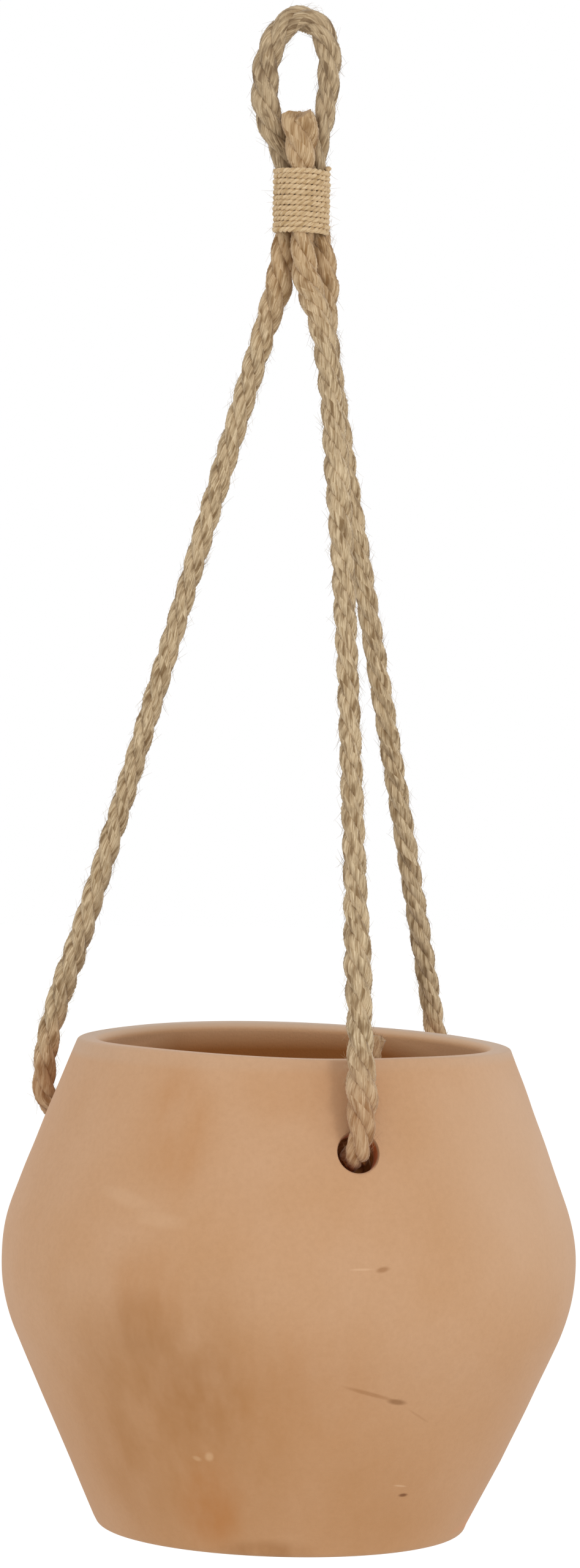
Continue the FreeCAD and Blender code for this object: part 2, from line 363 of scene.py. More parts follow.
# The stains run down the wall in streaks, strongest low on the left of the front. Each has its place,
# its half sizes in millimetres, its colour and its strength.
stain_streak_size = 11 * mm
stain_stretch = (1, 1, 0.3)
stain_place = put(clay, "ShaderNodeMapping", {"Vector": clay_place, "Scale": stain_stretch})
stain_streak = put(
    clay,
    "ShaderNodeTexNoise",
    {"Vector": stain_place.outputs[0], "Scale": 1 / stain_streak_size, "Detail": 3.0, "Roughness": 0.6},
)
stain_share = put(
    clay,
    "ShaderNodeMapRange",
    {"Value": stain_streak.outputs["Fac"], "From Min": 0.34, "From Max": 0.66, "To Min": 0.4, "To Max": 1.0},
).outputs[0]
stains = [
    (skin_spot(-32, -402), (48, 60, 60), "A8743F", 0.6),
    (skin_spot(-40, -364), (17, 40, 17), "B87B40", 0.3),
    (skin_spot(6, -391), (34, 50, 30), "B87B40", 0.24),
    (skin_spot(5, -308), (30, 40, 12), "B87B40", 0.2),
    (skin_spot(-42, -374), (15, 30, 14), "9A6A3C", 0.26),
    (skin_spot(-28, -394), (20, 30, 24), "A06B38", 0.3),
    (skin_spot(-22, -427), (13, 30, 20), "B8702F", 0.5),
    (skin_spot(-6, -441), (18, 30, 5), "8A5A2E", 0.6),
    (skin_spot(26, -428), (30, 50, 30), "A8743F", 0.25),
    (skin_spot(-32, -318), (15, 30, 26), "B87B40", 0.38),
    (skin_spot(35, -405, 1), (40, 60, 48), "A8743F", 0.5),
    (skin_spot(-45, -420, 1), (34, 50, 36), "A8743F", 0.4),
]
spot_core = 0.3
for spot, half_sizes, colour, strength in stains:
    here = near_spot(clay, clay_place, spot, half_sizes, 0, spot_core)
    clay_tone = coated(clay, clay_tone, colour, here, stain_share, strength)

# The foot is darker and more orange all round, fading out up to the belly, and a paler patch lies on the
# right.
foot_tint_level = base_level + 25 * mm
foot_tint_share = put(
    clay,
    "ShaderNodeMapRange",
    {"Value": clay_height, "From Min": foot_tint_level, "From Max": belly_level, "To Min": 0.3, "To Max": 0.0},
).outputs[0]
clay_tone = coated(clay, clay_tone, "B0763B", foot_tint_share)
right_pale_patch = near_spot(clay, clay_place, skin_spot(68, -332), (45, 70, 58), 0, 0.2)
clay_tone = coated(clay, clay_tone, "D6B598", right_pale_patch, 0.36)

# Knocks and scratches from handling, each a short dark or light mark on the front, with its place, its half
# sizes in millimetres, its turn in degrees, its colour and its strength.
marks = [
    (26.0, -356.4, (2.6, 8, 1.1), -10, "9A6A40", 0.6),
    (20.0, -356.2, (4.2, 8, 0.45), 0, "DDB590", 0.5),
    (23.0, -392.4, (12.0, 8, 0.9), 18, "9C6B3F", 0.5),
    (30.6, -395.2, (3.8, 8, 1.2), 10, "85582F", 0.65),
    (33.1, -424.4, (1.8, 8, 0.75), 0, "734420", 0.85),
    (32.2, -421.4, (2.6, 8, 0.4), 10, "DDB590", 0.5),
    (37.0, -400.0, (5.5, 8, 0.5), 38, "A3744A", 0.3),
    (-22.3, -412.0, (1.7, 8, 1.9), 0, "DCB48A", 0.45),
    (-25.8, -412.8, (1.8, 8, 1.0), 20, "DCB48A", 0.35),
    (-46.0, -339.0, (15, 14, 3.2), 16, "DDB996", 0.17),
    (-37.0, -344.0, (11, 12, 3.0), 4, "DDB996", 0.16),
]
for across, level, half_sizes, turn, colour, strength in marks:
    here = near_spot(clay, clay_place, skin_spot(across, level), half_sizes, turn, spot_core)
    clay_tone = coated(clay, clay_tone, colour, here, strength)

# Pale grey lies on the rim's flat top, most at the back: partly dust, partly a painted reflection of the
# white surround on the grazing back rim.
clay_facing = put(clay, "ShaderNodeNewGeometry", {}).outputs["Normal"]
clay_upward = put(clay, "ShaderNodeSeparateXYZ", {"Vector": clay_facing}).outputs["Z"]
rim_near = put(
    clay,
    "ShaderNodeMapRange",
    {"Value": clay_height, "From Min": rim_level - 5 * mm, "From Max": rim_level - 3 * mm},
).outputs[0]
rim_flat = put(
    clay,
    "ShaderNodeMapRange",
    {"Value": clay_upward, "From Min": 0.0, "From Max": 0.5, "To Max": 0.7},
).outputs[0]
rim_back_sheen = put(
    clay,
    "ShaderNodeMapRange",
    {
        "Value": clay_axes.outputs["Y"],
        "From Min": -50 * mm,
        "From Max": 20 * mm,
        "To Min": 0.2,
        "To Max": 1.0,
    },
).outputs[0]
# Dust and a painted reflection: pale grey laid on the rim's top, strongest at the back.
clay_tone = coated(clay, clay_tone, "C4B09D", rim_near, rim_flat, rim_back_sheen)

# Inside, painted light makes the clay paler just below the rim, and further down the clay is darkened by a
# soil stain together with painted shade. The darkening reaches higher in the middle, a little to the left,
# than at the sides.
clay_depth = put(clay, "ShaderNodeAttribute", {}, attribute_name="depth").outputs["Fac"]
inner_share = put(
    clay,
    "ShaderNodeMapRange",
    {"Value": clay_depth, "From Min": 5.0, "From Max": 6.8},
).outputs[0]
inner_painted_light_share = put(
    clay,
    "ShaderNodeMapRange",
    {"Value": clay_height, "From Min": rim_level - 22 * mm, "From Max": rim_level - 12 * mm, "To Max": 0.8},
).outputs[0]
inner_painted_light_fade = put(
    clay,
    "ShaderNodeMapRange",
    {
        "Value": clay_height,
        "From Min": rim_level - 5 * mm,
        "From Max": rim_level - 1.5 * mm,
        "To Min": 1.0,
        "To Max": 0.4,
    },
).outputs[0]
inner_painted_light = put(clay, "ShaderNodeMath", {0: inner_painted_light_share, 1: inner_painted_light_fade}, operation="MULTIPLY").outputs[0]
# Painted light: a paler clay colour on the inner wall just below the rim.
clay_tone = coated(clay, clay_tone, "E9B888", inner_share, inner_painted_light)
soil_shade_left = 5 * mm
clay_across = clay_axes.outputs["X"]
soil_shade_across = put(clay, "ShaderNodeMath", {0: clay_across, 1: soil_shade_left}, operation="ADD").outputs[0]
soil_shade_aside = put(clay, "ShaderNodeMath", {0: soil_shade_across}, operation="ABSOLUTE").outputs[0]
soil_shade_dip = put(
    clay,
    "ShaderNodeMapRange",
    {"Value": soil_shade_aside, "From Min": 30 * mm, "From Max": 50 * mm, "To Max": 5.5 * mm},
).outputs[0]
soil_shade_height = put(clay, "ShaderNodeMath", {0: clay_height, 1: soil_shade_dip}, operation="ADD").outputs[0]
soil_and_shade_share = put(
    clay,
    "ShaderNodeMapRange",
    {
        "Value": soil_shade_height,
        "From Min": rim_level - 8 * mm,
        "From Max": rim_level - 2 * mm,
        "To Min": 0.9,
        "To Max": 0.0,
    },
).outputs[0]
# Soil stain and painted shade: the inside darkened to a deep red brown further down.
clay_tone = coated(clay, clay_tone, "A4621F", inner_share, soil_and_shade_share)

# The bores are painted a bright deep orange, which stands in for the warm light bounced about inside them.
# They lie between the outer skin and the inside, well below the rim.
bore_painted_light_share = put(
    clay,
    "ShaderNodeMapRange",
    {"Value": clay_depth, "From Min": 0.8, "From Max": 2.0, "To Max": 0.9},
).outputs[0]
outer_share = put(
    clay,
    "ShaderNodeMapRange",
    {"Value": clay_depth, "From Min": 5.0, "From Max": 6.8, "To Min": 1.0, "To Max": 0.0},
).outputs[0]
below_rim = put(
    clay,
    "ShaderNodeMapRange",
    {"Value": clay_height, "From Min": rim_level - 8 * mm, "From Max": rim_level - 12 * mm},
).outputs[0]
# Painted light: the bores' bright orange stands in for light bounced about inside them.
clay_tone = coated(clay, clay_tone, "E07818", bore_painted_light_share, outer_share, below_rim)
clay.links.new(clay_tone, clay_shader.inputs["Base Color"])
clay_shader.inputs["Roughness"].default_value = 0.88
clay_shader.inputs["Specular IOR Level"].default_value = 0.3
clay_shader.inputs["Sheen Weight"].default_value = 0.12

# The clay's sandy grain, drawn a little coarser than it is so that it shows.
grain_size = 0.8 * mm
grain = put(
    clay,
    "ShaderNodeTexNoise",
    {"Vector": clay_place, "Scale": 1 / grain_size, "Detail": 3.0, "Roughness": 0.6},
)
clay_bump = put(
    clay,
    "ShaderNodeBump",
    {"Height": grain.outputs["Fac"], "Strength": 0.35, "Distance": 0.25 * mm},
)
clay.links.new(clay_bump.outputs["Normal"], clay_shader.inputs["Normal"])
pot.data.materials.clear()
pot.data.materials.append(terracotta)
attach(pot, "pot")
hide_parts("pot")

# Rope legs
# Three legs of three-strand jute rope, laid left-handed. Each comes out of the binding, runs down
# to its hole, bends over the hole's edge and is stopped by a knot inside the pot.
jute_rope = {
    "lay": 26 * mm,
    "strands": 3,
    "share": 0.56,
    "sides": 36,
    "yarns": 7,
    "relief": 0.085,
    "yarn_turn": 0.46 / mm,
}
ring_step = 0.9 * mm
end_crown = 0.4 * mm

# Each leg's route from the binding down to its knot. All routes are in plain millimetres, and so are the
# sizes that shape them.
leg_routes = {
    "left": [
        (-3.75, 2.17, -51.4),
        (-4.5, 2.1, -61),
        (-5.8, 2.2, -69),
        (-6.2, 2.3, -76),
        (-8.9, 2.8, -83),
        (-60.5, 14.05, -261),
        (-72.6, 16.6, -295),
        (-74.5, 17.2, -312.5),
        (-73.3, 16.9, -320.5),
        (-64.88, 14.98, -323.4),
    ],
    "front": [
        (0.0, -4.33, -51.4),
        (0.3, -4.3, -60),
        (0.7, -4.5, -69),
        (2.1, -5.3, -76),
        (6.0, -8.8, -86),
        (9.1, -15.0, -105),
        (13.6, -31.06, -162),
        (17.9, -60.0, -262),
        (19.9, -74.2, -312),
        (19.6, -74.6, -324),
        (17.2, -65.5, -326.5),
    ],
    "back": [
        (3.75, 2.17, -51.4),
        (4.9, 2.0, -60),
        (6.9, 2.4, -69),
        (7.3, 4.4, -78),
        (7.4, 8.2, -92),
        (46.3, 60.8, -311),
        (46.6, 61.4, -321),
        (40.07, 53.18, -325.0),
    ],
}


def smooth_route(points, step, fineness=320):
    """Points in metres along the smooth spline of a route in millimetres, no closer than a step."""
    curve = bpy.data.curves.new("route", "CURVE")
    curve.dimensions = "3D"
    curve.resolution_u = fineness
    spline = curve.splines.new("NURBS")
    spline.points.add(len(points) - 1)
    for spot, point in zip(spline.points, points):
        spot.co = (*[c * mm for c in point], 1)
    spline.order_u = 3
    spline.use_endpoint_u = True
    holder = bpy.data.objects.new("route", curve)
    line = bpy.data.meshes.new_from_object(holder)
    found = [v.co.copy() for v in line.vertices]
    bpy.data.objects.remove(holder)
    bpy.data.curves.remove(curve)
    bpy.data.meshes.remove(line)
    kept = [found[0]]
    for spot in found[1:-1]:
        if (spot - kept[-1]).length >= step and (spot - found[-1]).length >= step:
            kept.append(spot)
    return np.array(kept + [found[-1]])


def path_length(path):
    """The length of a line of points."""
    return float(np.sum(np.linalg.norm(np.diff(path, axis=0), axis=1)))


def unit(rows):
    """Each row as a direction of length 1."""
    return rows / np.linalg.norm(rows, axis=-1, keepdims=True)


def carried_frame(path):
    """Distance along a path, and at each point the way ahead and two square directions that don't twist."""
    ahead = unit(np.gradient(path, axis=0))
    along = np.concatenate([[0], np.cumsum(np.linalg.norm(np.diff(path, axis=0), axis=1))])
    start = np.array([1.0, 0, 0]) if abs(ahead[0][0]) < 0.8 else np.array([0, 1.0, 0])
    side = np.zeros_like(path)
    for i in range(len(path)):
        carried = start if i == 0 else side[i - 1]
        side[i] = carried - ahead[i] * carried.dot(ahead[i])
        side[i] /= np.linalg.norm(side[i])
    return along, ahead, side, np.cross(ahead, side)


def unevenness(along, size, seed):
    """A smooth wandering value from about -1 to 1 along a rope."""
    return np.array([noise.noise((s / size, seed * 7.3, seed * 1.7)) for s in along]) * 1.6


class Surface:
    """Corners, faces and face coordinates that are gathered into one mesh."""

    def __init__(self):
        self.corners = []
        self.faces = []
        self.coordinates = []
        self.size = 0

    def add(self, corners, faces, coordinates):
        """Corners, faces that count them from 0, and a place on the strand for each corner of each face."""
        self.corners.append(corners.reshape(-1, 3))
        self.faces += (faces + self.size).tolist()
        self.coordinates.append(coordinates.reshape(-1, 2))
        self.size += len(self.corners[-1])

    def add_tube(self, rings, across, along):
        """A tube of rings. across and along give each ring's place on the strand, in millimetres."""
        count, sides = rings.shape[:2]
        i, j = np.meshgrid(np.arange(count - 1), np.arange(sides), indexing="ij")
        k = (j + 1) % sides
        faces = np.stack([i * sides + j, i * sides + k, (i + 1) * sides + k, (i + 1) * sides + j], axis=-1)
        u = np.stack([across[i, j], across[i, j + 1], across[i + 1, j + 1], across[i + 1, j]], axis=-1)
        v = np.stack([along[i], along[i], along[i + 1], along[i + 1]], axis=-1)
        self.add(rings, faces.reshape(-1, 4), np.stack([u, v], axis=-1))

    def add_cap(self, ring, middle, place):
        """A fan that closes the end of a tube."""
        sides = len(ring)
        fan = np.array([[i, (i + 1) % sides, sides] for i in range(sides)])
        self.add(np.vstack([ring, middle]), fan, np.tile(place, (3 * sides, 1)))

    def mesh(self, name):
        """The mesh of all that was added, smooth, with its places on the strands as face coordinates."""
        made = bpy.data.meshes.new(name)
        made.from_pydata(np.vstack(self.corners).tolist(), [], self.faces)
        made.uv_layers.new(name="lay").data.foreach_set("uv", np.vstack(self.coordinates).ravel())
        made.polygons.foreach_set("use_smooth", [True] * len(made.polygons))
        made.update()
        return made


# No strand is even: its thickness, its place round the rope and the depth of its yarns wander. Each is given
# as a share, and the stretch over which it wanders as a share of the rope's lay. Every strand takes a place
# of its own in the pattern of its skin.
strand_swell = 0.05
swell_stretch = 0.35
strand_wander = 0.12
wander_stretch = 0.6
yarn_change = 0.6
change_stretch = 0.2
strand_shift = 400


def lay_rope(surface, make, path, radius, seed, rings=slice(None)):
    """Strands twisted round a path, each with its yarns showing. radius is given for each point.

    make says how the rope is made: its lay, which is the length of one turn, its strands, a strand's share of
    the radius and its sides in the mesh, and a strand's yarns with their relief and their turn.
    """
    along, _, side, across = carried_frame(path)
    turns = np.linspace(0, 2 * math.pi, make["sides"] + 1)
    for k in range(make["strands"]):
        swell = 1 + strand_swell * unevenness(along, swell_stretch * make["lay"], seed + k)
        strand_radius = radius * make["share"] * swell
        wander = strand_wander * unevenness(along, wander_stretch * make["lay"], seed + k + 5)
        angle = 2 * math.pi * (k / make["strands"] - along / make["lay"]) + wander
        out = side * np.cos(angle)[:, None] + across * np.sin(angle)[:, None]
        middle = path + out * (radius - strand_radius)[:, None]
        onward = unit(np.gradient(middle, axis=0))
        out = unit(out - onward * np.sum(out * onward, axis=1, keepdims=True))
        sideways = np.cross(onward, out)
        yarn_angle = turns[None, :] - make["yarn_turn"] * along[:, None]
        change = yarn_change * unevenness(along, change_stretch * make["lay"], seed + k + 9)
        depth = make["relief"] * (1 + change)
        reach = strand_radius[:, None] * (1 + depth[:, None] * np.cos(make["yarns"] * yarn_angle))
        ring = np.cos(turns)[None, :, None] * out[:, None, :]
        ring = ring + np.sin(turns)[None, :, None] * sideways[:, None, :]
        tube = (middle[:, None, :] + ring * reach[:, :, None])[rings, :-1]
        place = yarn_angle * np.mean(strand_radius) / mm
        surface.add_tube(tube, place[rings], along[rings] / mm + strand_shift * (seed + k))
        start = middle[rings][0] - onward[rings][0] * end_crown
        end = middle[rings][-1] + onward[rings][-1] * end_crown
        surface.add_cap(tube[0][::-1], start, (place[0, 0], seed))
        surface.add_cap(tube[-1], end, (place[-1, 0], seed))


# Hairs of jute stand out all along the ropes, four to each millimetre. Their sizes are kept so that none
# reaches far from the rope. A lean, a bend and a spread are shares of the way that a hair mostly goes, and a
# root is given as a share of the rope's radius.
fibres_per_mm = 4
fibre_rings = 5
fibre_radius = 0.045 * mm
fibre_tip = 0.3
fibre_length = (1.5 * mm, 5.0 * mm)
fibre_proud = 2.0 * mm
fibre_reach = 6.0 * mm
fibre_lean = (0.15, 0.75)
fibre_side = 0.6
fibre_bend = 0.2
fibre_root = 0.9
bare_rings = 6
cut_fibre_length = (0.9 * mm, 2.2 * mm)
cut_fibre_spread = 0.3
cut_fibre_root = 0.85
cut_fibre_inset = 0.5 * mm


def add_fibre(surface, root, way, length, bend, across, along):
    """One hair, a thin bent spike. across and along give its place on the strand, in millimetres."""
    corners = np.array([0, 1, 2]) * 2 * math.pi / 3
    share = np.linspace(0, 1, fibre_rings)[:, None]
    line = root + way * length * share + bend * length * share**2
    first = unit(np.cross(way, (0.31, 0.43, 0.85)))
    second = np.cross(way, first)
    taper = fibre_radius * np.linspace(1, fibre_tip, fibre_rings)
    ring = np.cos(corners)[:, None] * first + np.sin(corners)[:, None] * second
    tube = line[:, None, :] + ring[None] * taper[:, None, None]
    surface.add_tube(tube, np.full((fibre_rings, 4), across), along + share[:, 0])
    surface.add_cap(tube[0][::-1], line[0], (across, along))
    surface.add_cap(tube[-1], line[-1], (across, along))


def stray_fibres(surface, path, radius, count, seed, rings=slice(None)):
    """Hairs that stand out all along a rope."""
    draw = np.random.default_rng(seed)
    along, ahead, side, across = carried_frame(path)
    numbers = np.arange(len(path))[rings]
    for i in draw.choice(numbers[bare_rings:-bare_rings], count):
        turn = draw.uniform(0, 2 * math.pi)
        out = side[i] * math.cos(turn) + across[i] * math.sin(turn)
        sideways = np.cross(ahead[i], out)
        lean = draw.uniform(*fibre_lean)
        onward = ahead[i] * draw.choice([-1, 1])
        way = unit(onward + out * lean + sideways * draw.uniform(-fibre_side, fibre_side))
        bend = unit(draw.normal(size=3)) * fibre_bend
        root = path[i] + out * radius[i] * fibre_root
        length = min(draw.uniform(*fibre_length), fibre_proud / max(0.1, way.dot(out)))
        while np.linalg.norm(root + (way + bend) * length - path, axis=1).min() > fibre_reach:
            length *= 0.8
        add_fibre(surface, root, way, length, bend, draw.uniform(0, 50), along[i] / mm)


def frayed_end(surface, path, radius, count, seed):
    """Cut ends of fibres, which stand out of the last ring of a rope so that its end isn't smooth."""
    draw = np.random.default_rng(seed)
    _, ahead, side, across = carried_frame(path)
    for turn, share in draw.uniform(size=(count, 2)) * (2 * math.pi, 1):
        out = side[-1] * math.cos(turn) + across[-1] * math.sin(turn)
        reach = radius[-1] * cut_fibre_root * math.sqrt(share)
        root = path[-1] + out * reach - ahead[-1] * cut_fibre_inset
        way = unit(ahead[-1] + cut_fibre_spread * draw.normal(size=3))
        bend = unit(draw.normal(size=3)) * fibre_bend
        length = draw.uniform(*cut_fibre_length)
        add_fibre(surface, root, way, length, bend, draw.uniform(0, 50), draw.uniform(0, 50))


def jute_skin(name, pale, brown, spot, streak_size, spot_size):
    """Jute: streaks from brown to pale along each yarn, broken by darker flecks. Sizes are in millimetres."""
    material = bpy.data.materials.new(name)
    material.use_nodes = True
    bast = material.node_tree
    shader = bast.nodes["Principled BSDF"]
    place = put(bast, "ShaderNodeUVMap", {}, uv_map="lay").outputs["UV"]
    streak_scale = (*[1 / size for size in streak_size], 1)
    streak_place = put(bast, "ShaderNodeMapping", {"Vector": place, "Scale": streak_scale})
    streak = put(
        bast,
        "ShaderNodeTexNoise",
        {"Vector": streak_place.outputs[0], "Scale": 1.0, "Detail": 3.0, "Roughness": 0.6},
    )
    streak_share = put(
        bast,
        "ShaderNodeMapRange",
        {"Value": streak.outputs["Fac"], "From Min": 0.34, "From Max": 0.66},
    )
    tone = coated(bast, linear(brown), pale, streak_share.outputs[0])
    patch_scale = (*[1 / size for size in spot_size], 1)
    patch_place = put(bast, "ShaderNodeMapping", {"Vector": place, "Scale": patch_scale})
    patch = put(
        bast,
        "ShaderNodeTexNoise",
        {"Vector": patch_place.outputs[0], "Scale": 1.0, "Detail": 2.0},
    )
    patch_share = put(
        bast,
        "ShaderNodeMapRange",
        {"Value": patch.outputs["Fac"], "From Min": 0.46, "From Max": 0.66, "To Max": 0.85},
    )
    tone = coated(bast, tone, spot, patch_share.outputs[0])
    bast.links.new(tone, shader.inputs["Base Color"])
    shader.inputs["Roughness"].default_value = 0.85
    shader.inputs["Specular IOR Level"].default_value = 0.25
    shader.inputs["Sheen Weight"].default_value = 0.15
    bump = put(
        bast,
        "ShaderNodeBump",
        {"Height": streak.outputs["Fac"], "Strength": 0.6, "Distance": 0.2 * mm},
    )
    bast.links.new(bump.outputs["Normal"], shader.inputs["Normal"])
    return material


def stain_and_painted_light_by_height(material, colour, low, low_share, high, high_share):
    """Lays a colour over a material, by shares that are given at two levels."""
    tree = material.node_tree
    base = tree.nodes["Principled BSDF"].inputs["Base Color"]
    place = put(tree, "ShaderNodeTexCoord", {}).outputs["Object"]
    height = put(tree, "ShaderNodeSeparateXYZ", {"Vector": place}).outputs["Z"]
    levels = {"Value": height, "From Min": low, "From Max": high, "To Min": low_share, "To Max": high_share}
    share = put(tree, "ShaderNodeMapRange", levels).outputs[0]
    tree.links.new(coated(tree, base.links[0].from_socket, colour, share), base)


# Jute rope, spun, laid and left raw. It is dry, dull and flecked from straw to brown. Damp that gathers in
# the binding has stained it a warmer brown at the top, and below the rim it is reddened by painted light:
# orange light bounced off the pot.
jute_streak = (0.4, 7.0)
jute_fleck = (1.4, 6.0)
raw_jute = jute_skin("raw_jute_rope", "E6D0AC", "A68963", "7C5F3B", jute_streak, jute_fleck)
stain_and_painted_light_by_height(raw_jute, "B87A30", -95 * mm, 0.0, -70 * mm, 0.22)
# Painted light: orange light bounced off the pot, laid on the ropes below the rim.
stain_and_painted_light_by_height(raw_jute, "B0703E", rim_level - 14 * mm, 0.4, rim_level + 6 * mm, 0.0)


def rope_radius(path, sizes):
    """The rope's radius at each point of a path, from a list of levels and radii in millimetres."""
    levels, radii = zip(*sorted(sizes))
    return np.interp(path[:, 2] / mm, levels, radii) * mm


def rope_piece(name, path, radius, seed, rings=slice(None), skin=raw_jute, cut_fibres=0):
    """A stretch of rope along some rings of a path, with its hairs and any frayed fibres at its end."""
    surface = Surface()
    frayed_end(surface, path, radius, cut_fibres, seed)
    lay_rope(surface, jute_rope, path, radius, seed, rings)
    stray_fibres(surface, path, radius, int(path_length(path[rings]) / mm * fibres_per_mm), seed, rings)
    piece = add_piece(name, surface.mesh(name))
    piece.data.materials.append(skin)
    return piece


# The ropes swell where they come out of the binding, and the front one is loose above its hole. Their sizes
# are levels and radii. Each rope is made in two stretches, which meet below the binding and bend there.
neck_split = -70.5 * mm
neck_sizes = [(-50, 3.3), (-60, 3.4), (-66, 3.6), (-75, 4.2), (-80, 4.0), (-86, 3.7)]
leg_sizes = {
    "left": [(-90, 3.6), (-130, 3.4), (-165, 3.1), (-215, 3.2), (-250, 3.3), (-280, 3.7), (-300, 3.5)],
    "front": [
        (-95, 3.6),
        (-114, 3.3),
        (-128, 3.8),
        (-160, 3.4),
        (-190, 3.2),
        (-250, 3.4),
        (-272, 4.1),
        (-283, 3.7),
        (-293, 3.8),
        (-300, 4.1),
        (-309, 4.7),
        (-319, 3.6),
    ],
    "back": [(-90, 3.5), (-130, 3.3), (-320, 3.3)],
}
for number, (leg, route) in enumerate(leg_routes.items()):
    path = smooth_route(route, ring_step)
    radius = rope_radius(path, neck_sizes + leg_sizes[leg])
    split = int(np.argmax(path[:, 2] < neck_split))
    seed = 11 + 20 * number
    neck = rope_piece("neck_rope_" + leg, path, radius, seed, slice(0, split + 1))
    rope = rope_piece("rope_leg_" + leg, path, radius, seed, slice(split, None))
    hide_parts("neck_upper", "neck_lower")
    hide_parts("leg_" + leg)
    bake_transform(neck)
    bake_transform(rope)

# Stopper knots
# Behind its hole each rope is tied in a double overhand knot, two turns drawn tight round the rope,
# which is too big to pull through. The front rope's end is left long and stands up past the rim.
knot_rope_radius = 2.85 * mm
knot_core_radius = 3.3 * mm
knot_step = 0.8 * mm
knot_fineness = 60
knot_hairs = 60
knot_cut_fibres = 140
knot_turns = 2
knot_points_per_turn = 14
knot_end_share = 0.45

# Where the turns lie, and how far into the pot the rope runs through them.
knot_turn_radius = 5.2
knot_pitch = 5.0
knot_start = 3.4
knot_core_depths = (-1.0, 6, 12)
knot_stub = 19.0
front_end_depth = 13
front_end_shift = Vector((3, 3, 8))
front_end_top = (23.6, -47.3, -293.6)

# The same rope, painted darker and red brown for the knots: painted shade with the warm cast of light bounced
# off the clay, strongest deep inside the pot.
knot_painted_shade_jute = jute_skin("soiled_jute_rope", "D9C29F", "9B805D", "735A3E", jute_streak, jute_fleck)
# Painted shade with a warm cast, strongest deep inside the pot.
stain_and_painted_light_by_height(knot_painted_shade_jute, "A8641C", rim_level - 12 * mm, 0.8, rim_level - 2 * mm, 0.25)
for number, (leg, angle) in enumerate(hole_angles.items()):
    bearing = math.radians(angle)
    level_out = math.cos(upper_lean)
    outward = Vector((math.cos(bearing) * level_out, math.sin(bearing) * level_out, math.sin(upper_lean)))
    sideways = Vector((-math.sin(bearing), math.cos(bearing), 0))
    upward = outward.cross(sideways)
    seat = Vector(leg_routes[leg][-1])
    wraps = []
    count = knot_turns * knot_points_per_turn
    for i in range(count + 1):
        turn = 2 * math.pi * i / knot_points_per_turn
        drawn_in = knot_end_share if i in (0, count) else 1
        ring = (sideways * math.cos(turn) + upward * math.sin(turn)) * knot_turn_radius * drawn_in
        wraps.append(seat - outward * (knot_start + knot_pitch * i / knot_points_per_turn) + ring)
    core = [seat - outward * inside for inside in knot_core_depths]
    if leg == "front":
        core += [seat - outward * front_end_depth + front_end_shift, Vector(front_end_top)]
    else:
        core += [seat - outward * knot_stub]
    surface = Surface()
    for part, (points, size) in enumerate(((wraps, knot_rope_radius), (core, knot_core_radius))):
        path = smooth_route(points, knot_step, knot_fineness)
        radius = np.full(len(path), size)
        seed = 131 + 20 * number + 7 * part
        lay_rope(surface, jute_rope, path, radius, seed)
        stray_fibres(surface, path, radius, knot_hairs, seed)
    frayed_end(surface, path, radius, knot_cut_fibres, seed)
    name = "stopper_knot_" + leg
    knot = add_piece(name, surface.mesh(name))
    knot.data.materials.append(knot_painted_shade_jute)
    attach(knot, "pot")
    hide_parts("knot_" + leg)

# Hanging loop
# The left and back legs are one rope, which goes up through the binding, round as a narrow loop
# for the hook and down again. It carries the whole weight.
loop_route = [
    (-3.75, 2.165, -49.4),
    (-4.4, 2.165, -38.5),
    (-11.0, 0.9, -26),
    (-11.4, 0.4, -9),
    (-5.0, 0.0, 2.7),
    (3.6, 0.0, 2.7),
    (8.2, 0.5, -6.5),
    (7.2, 1.4, -23),
    (3.75, 2.165, -37.5),
    (3.75, 2.165, -49.4),
]

# The rope is thickest low on the left and thinnest low on the right. Its radii are given at shares of its
# length.
loop_shares = (0, 0.12, 0.25, 0.42, 0.52, 0.62, 0.75, 1)
loop_sizes = (3.3, 3.4, 4.2, 3.9, 3.9, 3.7, 3.2, 3.3)
loop_path = smooth_route(loop_route, ring_step)
loop_radius = np.interp(np.linspace(0, 1, len(loop_path)), loop_shares, loop_sizes) * mm

# The same rope, a little darker, for the loop where the planter is hung up.
darker_loop_jute = jute_skin("handled_jute_rope", "D9C29F", "9B805D", "735A3E", jute_streak, jute_fleck)
loop = rope_piece("rope_loop", loop_path, loop_radius, 71, skin=darker_loop_jute)
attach(loop, "hanger")
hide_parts("hanging_loop")

# Cut tail
# The front leg's rope ends above the binding in a blunt cut, which leans in front of the loop's foot.
# Nothing holds its strands there, so they have spread.
tail_route = [(0.0, -4.33, -49.4), (0.1, -4.5, -37), (-0.9, -5.0, -26.3)]
tail_sizes = [(-50, 3.3), (-42, 3.4), (-37, 4.6), (-31, 5.3), (-25, 5.5)]
tail_path = smooth_route(tail_route, ring_step)
tail_radius = rope_radius(tail_path, tail_sizes)
tail = rope_piece("rope_tail_end", tail_path, tail_radius, 91, cut_fibres=300)
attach(tail, "hanger")
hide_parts("rope_tail")

# Binding
# One length of fine two-ply jute twine, wound tight round the three ropes a dozen times.
# It grips the bundle, so the loop and the legs can't slip.
jute_twine = {
    "lay": 3.4 * mm,
    "strands": 2,
    "share": 0.62,
    "sides": 10,
    "yarns": 5,
    "relief": 0.03,
    "yarn_turn": 1.6 / mm,
}
twine_turns = 12
twine_points_per_turn = 16
twine_step = 0.45 * mm
twine_fineness = 12
twine_hairs = 220

